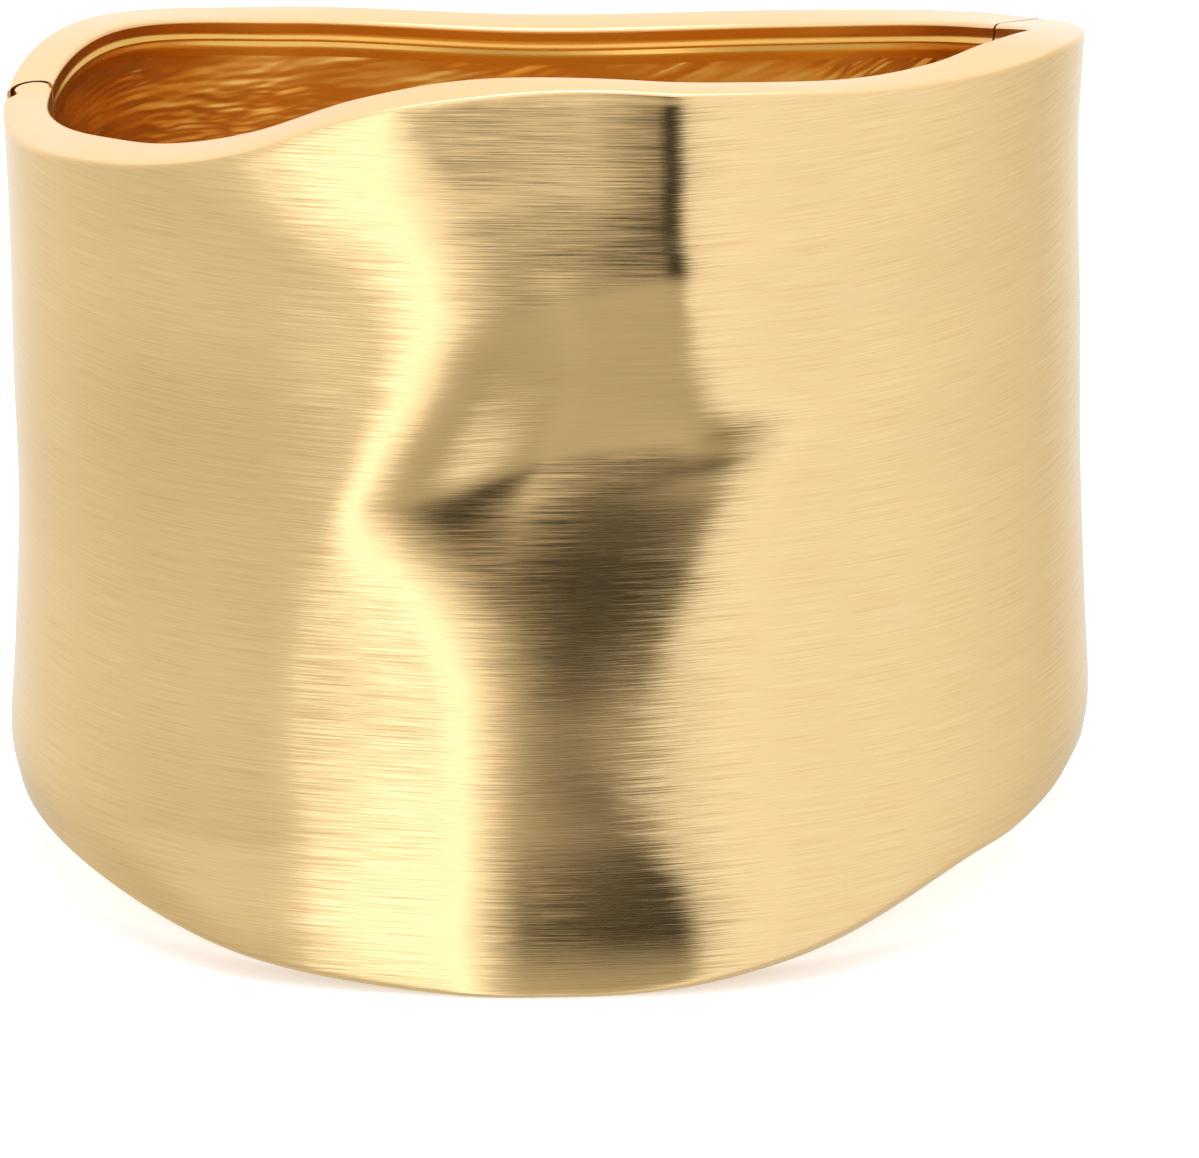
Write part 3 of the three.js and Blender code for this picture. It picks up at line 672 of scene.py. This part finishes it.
def clasp_tongue(material):
    """The plate that bridges the clasp's joint, curved like the wall, with its edges broken."""
    outline = clasp_outline(CLASP_REACH, TONGUE_INNER, TONGUE_OUTER)
    tongue = prism("polished_clasp_tongue", outline, CLASP_LOW, CLASP_HIGH)
    soften(tongue, EDGE_SOFTNESS)
    finish_mesh(tongue, [material])
    return tongue


def soften(piece, radius):
    """Rounds the hard edges of a piece."""
    shape = bmesh.new()
    shape.from_mesh(piece.data)
    edges = [edge for edge in shape.edges if edge.calc_face_angle() > SHARP_ANGLE]
    bmesh.ops.bevel(
        shape, geom=edges, affect="EDGES", offset=radius * MM, segments=3, profile=0.5, material=-1
    )
    shape.to_mesh(piece.data)
    shape.free()


def finish_mesh(piece, materials):
    """Smooth shading with the sharp edges kept, and the materials in order."""
    shape = bmesh.new()
    shape.from_mesh(piece.data)
    bmesh.ops.remove_doubles(shape, verts=shape.verts, dist=MERGE_DISTANCE)
    for face in shape.faces:
        face.smooth = True
    for edge in shape.edges:
        edge.smooth = edge.is_manifold and edge.calc_face_angle() < SHARP_ANGLE
    mesh = bpy.data.meshes.new(piece.name)
    shape.to_mesh(mesh)
    shape.free()
    for material in materials:
        mesh.materials.append(material)
    piece.data = mesh


# ---- Materials ----


def linear(hex_colour):
    """An sRGB hex colour as linear red, green, blue and alpha."""
    channels = [int(hex_colour[start : start + 2], 16) / 255 for start in (1, 3, 5)]
    return [c / 12.92 if c <= 0.04045 else ((c + 0.055) / 1.055) ** 2.4 for c in channels] + [1.0]


def new_material(name):
    material = bpy.data.materials.new(name)
    material.use_nodes = True
    material.node_tree.nodes.clear()
    return material, material.node_tree


def add_node(tree, kind, values=None, links=None, **settings):
    """Adds a shader node with its settings, input values and links from other nodes' outputs."""
    node = tree.nodes.new("ShaderNode" + kind)
    for name, value in settings.items():
        setattr(node, name, value)
    for socket, value in (values or {}).items():
        node.inputs[socket].default_value = value
    for socket, output in (links or {}).items():
        tree.links.new(output, node.inputs[socket])
    return node


# The ripples of the casting are long for their spacing and slant up to the right. They come and
# go in patches of this length and height.
RIPPLE_STRETCH = 5
RIPPLE_SLANT = 0.3
PATCH_LENGTH = 0.009
PATCH_HEIGHT = 0.006

# The buffing wheel's strokes on the rim.
BUFFED_SPACING = 0.0002
BUFFED_DEPTH = 0.00001

# Broad strokes are this many times as long and as far apart as the fine ones.
BROAD_STROKE = 4


def stroke_noise(tree, way, length, spacing, detail):
    """Noise drawn out into strokes along the surface. Surface ways are in millimetres."""
    place = add_node(
        tree, "Mapping", {"Scale": (MM / length, MM / spacing, 1.0)}, {"Vector": way.outputs[0]}
    )
    noise = add_node(
        tree,
        "TexNoise",
        {"Scale": 1.0, "Detail": detail, "Roughness": 0.6},
        {"Vector": place.outputs["Vector"]},
    )
    return noise.outputs["Fac"]


def satin_brushed_gold(finish):
    """Gold plating on a zinc casting, brushed lengthwise with a fine abrasive wheel."""
    # The strokes draw every reflection out sideways into short silky threads. Real ones lie about
    # 0.03 mm apart and are drawn coarser, so that they show.
    material, tree = new_material("satin_brushed_gold")
    way = add_node(tree, "UVMap", uv_map="surface_way")
    fine = stroke_noise(tree, way, finish.stroke_length, finish.stroke_spacing, 3.0)
    broad_length = BROAD_STROKE * finish.stroke_length
    broad = stroke_noise(tree, way, broad_length, BROAD_STROKE * finish.stroke_spacing, 2.0)
    strokes = add_node(
        tree, "Mix", {"Factor": 0.15}, {"A": fine, "B": broad}, data_type="FLOAT"
    ).outputs["Result"]
    # The low valleys of the strokes take the darker gold: painted shade in the grooves.
    colour = add_node(tree, "ValToRGB", links={"Fac": strokes})
    shaded_groove, face = colour.color_ramp.elements
    shaded_groove.position, shaded_groove.color = 0.3, finish.painted_groove_shade
    face.position, face.color = 0.6, finish.satin_colour
    bump = add_node(
        tree,
        "Bump",
        {"Strength": 0.35, "Distance": finish.stroke_depth},
        {"Height": strokes},
    )
    tangent = add_node(tree, "Tangent", direction_type="UV_MAP", uv_map="surface_way")
    stroke_turn = add_node(
        tree,
        "Math",
        {1: finish.stroke_lean, 2: -finish.stroke_lean / 2},
        {0: strokes},
        operation="MULTIPLY_ADD",
    )
    sideways = add_node(
        tree,
        "VectorMath",
        links={0: tangent.outputs["Tangent"], "Scale": stroke_turn.outputs["Value"]},
        operation="SCALE",
    )
    leaning = add_node(
        tree,
        "VectorMath",
        links={0: bump.outputs["Normal"], 1: sideways.outputs["Vector"]},
        operation="ADD",
    )
    normal = add_node(tree, "VectorMath", links={0: leaning.outputs["Vector"]}, operation="NORMALIZE")
    shader = add_node(
        tree,
        "BsdfPrincipled",
        {
            "Metallic": 1.0,
            "Roughness": finish.satin_roughness,
            "Anisotropic": 0.6,
            "Anisotropic Rotation": 0.25,
        },
        {
            "Base Color": colour.outputs["Color"],
            "Normal": normal.outputs["Vector"],
            "Tangent": tangent.outputs["Tangent"],
        },
    )
    add_node(tree, "OutputMaterial", links={"Surface": shader.outputs["BSDF"]})
    return material


def buffed_gold(finish):
    """Gold plating buffed on a soft wheel along the rim."""
    # It gives the rim a soft even glow, brighter than the brushed face, and the hair-fine strokes
    # only break up its highlight. They are drawn coarser than the real ones.
    material, tree = new_material("buffed_rim_gold")
    way = add_node(tree, "UVMap", uv_map="surface_way")
    bump = add_node(
        tree,
        "Bump",
        {"Strength": 0.1, "Distance": BUFFED_DEPTH},
        {"Height": stroke_noise(tree, way, finish.stroke_length, BUFFED_SPACING, 2.0)},
    )
    shader = add_node(
        tree,
        "BsdfPrincipled",
        {"Base Color": finish.rim_colour, "Metallic": 1.0, "Roughness": 0.24},
        {"Normal": bump.outputs["Normal"]},
    )
    add_node(tree, "OutputMaterial", links={"Surface": shader.outputs["BSDF"]})
    return material


def cast_gold(finish):
    """Gold plating over a casting left as it came from the mould."""
    # Its gloss mirrors the hollow over and over, which deepens the gold to orange; its colour is also set
    # deeper than the brushed face's, as a painted reflection of that orange. The mould's slanting ripples
    # break it into bright flecks like bark, in patches.
    material, tree = new_material("cast_inner_gold")
    way = add_node(tree, "UVMap", uv_map="surface_way")
    slant = (0.0, 0.0, -RIPPLE_SLANT)
    slanted = add_node(tree, "Mapping", {"Rotation": slant}, {"Vector": way.outputs["UV"]})
    ripple_length = RIPPLE_STRETCH * finish.ripple_spacing
    ripples = stroke_noise(tree, slanted, ripple_length, finish.ripple_spacing, 1.0)
    patches = stroke_noise(tree, way, PATCH_LENGTH, PATCH_HEIGHT, 1.0)
    strength = add_node(
        tree,
        "MapRange",
        {"From Min": 0.4, "From Max": 0.6, "To Min": 0.15, "To Max": 1.0},
        {"Value": patches},
    )
    rough = add_node(
        tree,
        "Bump",
        {"Distance": finish.ripple_depth},
        {"Strength": strength.outputs["Result"], "Height": ripples},
    )
    shader = add_node(
        tree,
        "BsdfPrincipled",
        {"Base Color": finish.cast_gold_and_painted_reflection, "Metallic": 1.0, "Roughness": 0.28},
        {"Normal": rough.outputs["Normal"]},
    )
    add_node(tree, "OutputMaterial", links={"Surface": shader.outputs["BSDF"]})
    return material


def smooth_metal(name, colour, roughness):
    """Metal with one even finish, such as a trimmed flange, drawn wire or polished sheet."""
    # It shows no grain. Only its roughness sets how sharply the pieces beside it are mirrored.
    material, tree = new_material(name)
    shader = add_node(
        tree,
        "BsdfPrincipled",
        {"Base Color": colour, "Metallic": 1.0, "Roughness": roughness},
    )
    add_node(tree, "OutputMaterial", links={"Surface": shader.outputs["BSDF"]})
    return material


# ---- Stage ----

# Brightness of the light tent's walls by compass bearing from the front, in degrees, low down and
# high up. The bright strip at the left makes the band, and the dark opening in front the hollow.
TENT = [
    {"bearing": -180, "low": 0.6, "high": 1.05},
    {"bearing": -120, "low": 0.7, "high": 0.88},
    {"bearing": -77, "low": 0.6, "high": 0.82},
    {"bearing": -50, "low": 0.62, "high": 0.8},
    {"bearing": -38, "low": 0.62, "high": 0.78},
    {"bearing": -32, "low": 0.64, "high": 0.82},
    {"bearing": -29, "low": 0.7, "high": 0.86},
    {"bearing": -27, "low": 0.74, "high": 0.9},
    {"bearing": -23.5, "low": 1.0, "high": 1.1},
    {"bearing": -20, "low": 1.9, "high": 1.9},
    {"bearing": -16.5, "low": 1.9, "high": 1.8},
    {"bearing": -13, "low": 1.05, "high": 1.0},
    {"bearing": -10, "low": 0.76, "high": 0.8},
    {"bearing": -8, "low": 0.66, "high": 0.66},
    {"bearing": -6, "low": 0.58, "high": 0.44},
    {"bearing": -4, "low": 0.55, "high": 0.22},
    {"bearing": -2, "low": 0.54, "high": 0.05},
    {"bearing": 0, "low": 0.53, "high": 0.0},
    {"bearing": 2, "low": 0.52, "high": 0.0},
    {"bearing": 4, "low": 0.5, "high": 0.0},
    {"bearing": 6, "low": 0.47, "high": 0.0},
    {"bearing": 10, "low": 0.48, "high": 0.06},
    {"bearing": 13, "low": 0.7, "high": 0.35},
    {"bearing": 17, "low": 1.0, "high": 0.98},
    {"bearing": 22, "low": 1.05, "high": 1.05},
    {"bearing": 30, "low": 0.98, "high": 0.98},
    {"bearing": 60, "low": 0.95, "high": 0.94},
    {"bearing": 120, "low": 0.72, "high": 0.78},
    {"bearing": 180, "low": 0.6, "high": 1.05},
]
# The walls change from low to high, and then to the ceiling, between these sines of elevation.
TENT_LOW, TENT_HIGH = -0.52, -0.28
CEILING_LOW, CEILING_HIGH = 0.2, 0.4
CEILING = 1.05
# The most that a ramp's colours are scaled up by, and the red, green and blue lost where it is dim.
TENT_BRIGHTEST = 3.0
TENT_WARMTH = (0.0, 0.12, 0.45)

FLOOR_SIZE = 2.0
SOFTBOX_SIZE = 0.7
SOFTBOX_HEIGHT = 0.9
MIDDLE_HEIGHT = 28.5


def tent_ramp(tree, share, column):
    """The tent's light round the compass, from one column of its table: warmer where it is dim."""
    ramp = add_node(tree, "ValToRGB", links={"Fac": share})
    stops = ramp.color_ramp.elements
    while len(stops) < len(TENT):
        stops.new(1.0)
    for stop, row in zip(stops, TENT):
        stop.position = row["bearing"] / 360 + 0.5
        level = row[column]
        dimness = 1 - min(level, 1.0)
        warm = [level * (1 - loss * dimness) / TENT_BRIGHTEST for loss in TENT_WARMTH]
        stop.color = (*warm, 1.0)
    return ramp.outputs["Color"]


def tent_step(tree, axes, low, high, below):
    """A soft step between two parts of the tent, one above the other."""
    share = add_node(
        tree,
        "MapRange",
        {"From Min": low, "From Max": high},
        {"Value": axes.outputs["Z"]},
        interpolation_type="SMOOTHSTEP",
    )
    return add_node(tree, "MixRGB", links={"Fac": share.outputs["Result"], "Color1": below})


def light_tent(strength):
    """A tent of soft white panels round the bangle, with a dark opening low in front for the camera."""
    world = bpy.data.worlds.new("light_tent")
    bpy.context.scene.world = world
    world.use_nodes = True
    tree = world.node_tree
    tree.nodes.clear()
    direction = add_node(tree, "TexCoord").outputs["Generated"]
    axes = add_node(tree, "SeparateXYZ", links={0: direction})
    forward = add_node(tree, "Math", {1: -1.0}, {0: axes.outputs["Y"]}, operation="MULTIPLY")
    bearing = add_node(
        tree, "Math", links={0: axes.outputs["X"], 1: forward.outputs[0]}, operation="ARCTAN2"
    )
    share = add_node(
        tree,
        "MapRange",
        {"From Min": -math.pi, "From Max": math.pi},
        {"Value": bearing.outputs[0]},
    ).outputs["Result"]
    walls = tent_step(tree, axes, TENT_LOW, TENT_HIGH, tent_ramp(tree, share, "low"))
    tree.links.new(tent_ramp(tree, share, "high"), walls.inputs["Color2"])
    tent = tent_step(tree, axes, CEILING_LOW, CEILING_HIGH, walls.outputs["Color"])
    tent.inputs["Color2"].default_value = (*[CEILING / TENT_BRIGHTEST] * 3, 1.0)
    light = add_node(
        tree, "Background", {"Strength": TENT_BRIGHTEST * strength}, {"Color": tent.outputs["Color"]}
    )
    backdrop = add_node(tree, "Background", {"Color": linear("#FFFFFF"), "Strength": 1.0})
    seen = add_node(tree, "LightPath")
    both = add_node(
        tree,
        "MixShader",
        links={
            0: seen.outputs["Is Camera Ray"],
            1: light.outputs["Background"],
            2: backdrop.outputs["Background"],
        },
    )
    add_node(tree, "OutputWorld", links={"Surface": both.outputs["Shader"]})


def studio_floor(size):
    """A sheet of matt white paper, lit a little from below, which is not mirrored in the bangle."""
    shape = bmesh.new()
    bmesh.ops.create_grid(shape, x_segments=1, y_segments=1, size=size / 2)
    material, tree = new_material("matt_white_paper")
    shader = add_node(
        tree,
        "BsdfPrincipled",
        {
            "Base Color": linear("#F4F4F4"),
            "Roughness": 1.0,
            "Specular IOR Level": 0.0,
            "Emission Color": linear("#FFFFFF"),
            "Emission Strength": 0.35,
        },
    )
    add_node(tree, "OutputMaterial", links={"Surface": shader.outputs["BSDF"]})
    floor = object_of("studio_floor", shape, [material])
    floor.visible_glossy = False


def overhead_softbox(power):
    """A round softbox straight above the bangle."""
    light = bpy.data.lights.new("overhead_softbox", "AREA")
    light.shape = "DISK"
    light.size = SOFTBOX_SIZE
    light.energy = power
    lamp = bpy.data.objects.new("overhead_softbox", light)
    lamp.location = (0, 0, SOFTBOX_HEIGHT)
    bpy.context.scene.collection.objects.link(lamp)


def studio_camera(stage):
    """A long-lens camera in front of the bangle, looking down a little and rolled by a hair."""
    middle = Vector((0, PLAN_CENTRE_Y, MIDDLE_HEIGHT)) * MM
    rise = stage.elevation
    place = middle + Vector((0, -math.cos(rise), math.sin(rise))) * stage.distance
    target = Vector((stage.aim_x, PLAN_CENTRE_Y * MM, stage.aim_z))
    forward = (target - place).normalized()
    right = forward.cross(Vector((0, 0, 1))).normalized()
    up = right.cross(forward)
    turned_right = right * math.cos(stage.roll) + up * math.sin(stage.roll)
    turned_up = up * math.cos(stage.roll) - right * math.sin(stage.roll)
    axes = Matrix((turned_right, turned_up, -forward)).transposed()
    data = bpy.data.cameras.new("studio_camera")
    data.lens = stage.lens
    data.clip_start = 0.01
    camera = bpy.data.objects.new("studio_camera", data)
    camera.matrix_world = Matrix.Translation(place) @ axes.to_4x4()
    bpy.context.scene.collection.objects.link(camera)
    bpy.context.scene.camera = camera


# ---- Settings, operators and panel ----


def dress(piece, body, node):
    """Lets a piece stand for a node of the part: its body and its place."""
    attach(piece, body)
    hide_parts(node)


class BangleMeshSettings(bpy.types.PropertyGroup):
    front_columns: bpy.props.IntProperty(
        name="Front columns", description="Mesh columns round the front half", default=280
    )
    front_rows: bpy.props.IntProperty(
        name="Front rows", description="Mesh rows up the outer face of the front half", default=190
    )
    front_recess_rows: bpy.props.IntProperty(
        name="Front recess rows", description="Mesh rows down its inner face", default=60
    )
    back_columns: bpy.props.IntProperty(
        name="Back columns", description="Mesh columns round the back half", default=240
    )
    back_rows: bpy.props.IntProperty(
        name="Back rows", description="Mesh rows up the outer face of the back half", default=60
    )
    back_recess_rows: bpy.props.IntProperty(
        name="Back recess rows", description="Mesh rows down its inner face", default=150
    )


def colour_property(name, description, hex_colour):
    """A colour setting whose default is an sRGB hex colour."""
    return bpy.props.FloatVectorProperty(
        name=name,
        description=description,
        default=linear(hex_colour),
        size=4,
        min=0.0,
        max=1.0,
        subtype="COLOR",
    )


def length_property(name, description, default):
    """A length setting in metres."""
    return bpy.props.FloatProperty(name=name, description=description, default=default, unit="LENGTH")


class BangleFinishSettings(bpy.types.PropertyGroup):
    satin_colour: colour_property("Satin gold", "Colour of the brushed face", "#F0D3A0")
    # A darker gold painted into the valleys of the brush strokes, as their shade.
    painted_groove_shade: colour_property("Groove gold", "Colour between the brush strokes", "#E4BF88")
    rim_colour: colour_property("Rim gold", "Colour of the buffed rim", "#F6CF9A")
    # Deeper than the satin gold: partly the plating's colour, partly painted reflection of the hollow's
    # orange.
    cast_gold_and_painted_reflection: colour_property("Cast gold", "Colour of the cast inner wall", "#EBB963")
    clasp_colour: colour_property("Clasp gold", "Colour of the clasp tongue", "#F2CC86")
    pin_colour: colour_property("Pin steel", "Colour of the hinge pin", "#CFCBC4")
    stroke_length: length_property("Stroke length", "Length of a brush stroke", 0.005)
    stroke_spacing: length_property("Stroke spacing", "Spacing of the brush strokes", 0.00008)
    stroke_depth: length_property("Stroke depth", "Depth of the brush strokes", 0.00002)
    stroke_lean: bpy.props.FloatProperty(
        name="Stroke lean", description="How far strokes lean the surface sideways", default=0.2
    )
    satin_roughness: bpy.props.FloatProperty(
        name="Satin roughness",
        description="Roughness of the brushed face",
        default=0.19,
        subtype="FACTOR",
    )
    ripple_spacing: length_property("Ripple spacing", "Spacing of the cast ripples", 0.0009)
    ripple_depth: length_property("Ripple depth", "Depth of the cast ripples", 0.0003)


class BangleStageSettings(bpy.types.PropertyGroup):
    distance: length_property("Camera distance", "Distance of the camera from the bangle", 0.65)
    elevation: bpy.props.FloatProperty(
        name="Camera elevation",
        description="Angle of the camera above the floor",
        default=math.radians(23),
        subtype="ANGLE",
    )
    roll: bpy.props.FloatProperty(
        name="Camera roll",
        description="Turn of the camera about its line of sight",
        default=math.radians(-0.9),
        subtype="ANGLE",
    )
    lens: bpy.props.FloatProperty(
        name="Focal length", description="Focal length of the lens", default=312.4, unit="CAMERA"
    )
    aim_x: length_property("Aim across", "Place across the bangle that the camera aims at", 0.00326)
    aim_z: length_property("Aim height", "Height that the camera aims at", 0.0171)
    tent_strength: bpy.props.FloatProperty(
        name="Tent strength", description="Brightness of the light tent", default=1.12
    )
    softbox_power: bpy.props.FloatProperty(
        name="Softbox power",
        description="Power of the overhead softbox",
        default=2.5,
        unit="POWER",
    )


class BANGLE_OT_stage(bpy.types.Operator):
    """Make the camera, the light tent, the floor and the overhead softbox"""

    bl_idname = "bangle.stage"
    bl_label = "Stage"

    def execute(self, context):
        stage = context.scene.bangle_stage
        studio_camera(stage)
        light_tent(stage.tent_strength)
        studio_floor(FLOOR_SIZE)
        overhead_softbox(stage.softbox_power)
        return {"FINISHED"}


class BANGLE_OT_shells(bpy.types.Operator):
    """Model the two halves of the cuff"""

    bl_idname = "bangle.shells"
    bl_label = "Shells"

    def execute(self, context):
        sizes = context.scene.bangle_mesh
        finish = context.scene.bangle_finish
        # The flange takes the cast gold too, with its painted reflection of the hollow's orange.
        trimmed = smooth_metal("smooth_flange_gold", finish.cast_gold_and_painted_reflection, roughness=0.22)
        materials = [satin_brushed_gold(finish), buffed_gold(finish), cast_gold(finish), trimmed]
        front = half("satin_front_shell", True, sizes, materials)
        dress(front, "front", "front_shell")
        back = half("satin_back_shell", False, sizes, materials)
        dress(back, "back", "back_shell")
        return {"FINISHED"}


class BANGLE_OT_pin(bpy.types.Operator):
    """Model the hinge pin"""

    bl_idname = "bangle.pin"
    bl_label = "Hinge pin"

    def execute(self, context):
        finish = context.scene.bangle_finish
        steel = smooth_metal("drawn_pin_steel", finish.pin_colour, roughness=0.25)
        dress(hinge_pin(steel), "front", "hinge_pin")
        return {"FINISHED"}


class BANGLE_OT_clasp(bpy.types.Operator):
    """Model the clasp tongue"""

    bl_idname = "bangle.clasp"
    bl_label = "Clasp tongue"

    def execute(self, context):
        finish = context.scene.bangle_finish
        gold = smooth_metal("polished_clasp_gold", finish.clasp_colour, roughness=0.15)
        dress(clasp_tongue(gold), "front", "clasp_tongue")
        return {"FINISHED"}


class BANGLE_PT_panel(bpy.types.Panel):
    """Settings of the bangle and a button for each step"""

    bl_idname = "BANGLE_PT_panel"
    bl_label = "Bangle"
    bl_space_type = "VIEW_3D"
    bl_region_type = "UI"
    bl_category = "Bangle"

    def draw(self, context):
        scene = context.scene
        for settings, steps in (
            (scene.bangle_stage, (BANGLE_OT_stage,)),
            (scene.bangle_mesh, ()),
            (scene.bangle_finish, (BANGLE_OT_shells, BANGLE_OT_pin, BANGLE_OT_clasp)),
        ):
            box = self.layout.box()
            for name in settings.bl_rna.properties.keys():
                if name not in ("rna_type", "name"):
                    box.prop(settings, name)
            for step in steps:
                box.operator(step.bl_idname)


CLASSES = (
    BangleMeshSettings,
    BangleFinishSettings,
    BangleStageSettings,
    BANGLE_OT_stage,
    BANGLE_OT_shells,
    BANGLE_OT_pin,
    BANGLE_OT_clasp,
    BANGLE_PT_panel,
)


def register():
    for cls in CLASSES:
        bpy.utils.register_class(cls)
    bpy.types.Scene.bangle_mesh = bpy.props.PointerProperty(type=BangleMeshSettings)
    bpy.types.Scene.bangle_finish = bpy.props.PointerProperty(type=BangleFinishSettings)
    bpy.types.Scene.bangle_stage = bpy.props.PointerProperty(type=BangleStageSettings)


def unregister():
    del bpy.types.Scene.bangle_mesh
    del bpy.types.Scene.bangle_finish
    del bpy.types.Scene.bangle_stage
    for cls in reversed(CLASSES):
        bpy.utils.unregister_class(cls)


def main():
    register()
    bpy.context.scene.view_settings.view_transform = "Standard"
    bpy.ops.bangle.stage()
    bpy.ops.bangle.shells()
    bpy.ops.bangle.pin()
    bpy.ops.bangle.clasp()


if __name__ == "__main__":
    main()
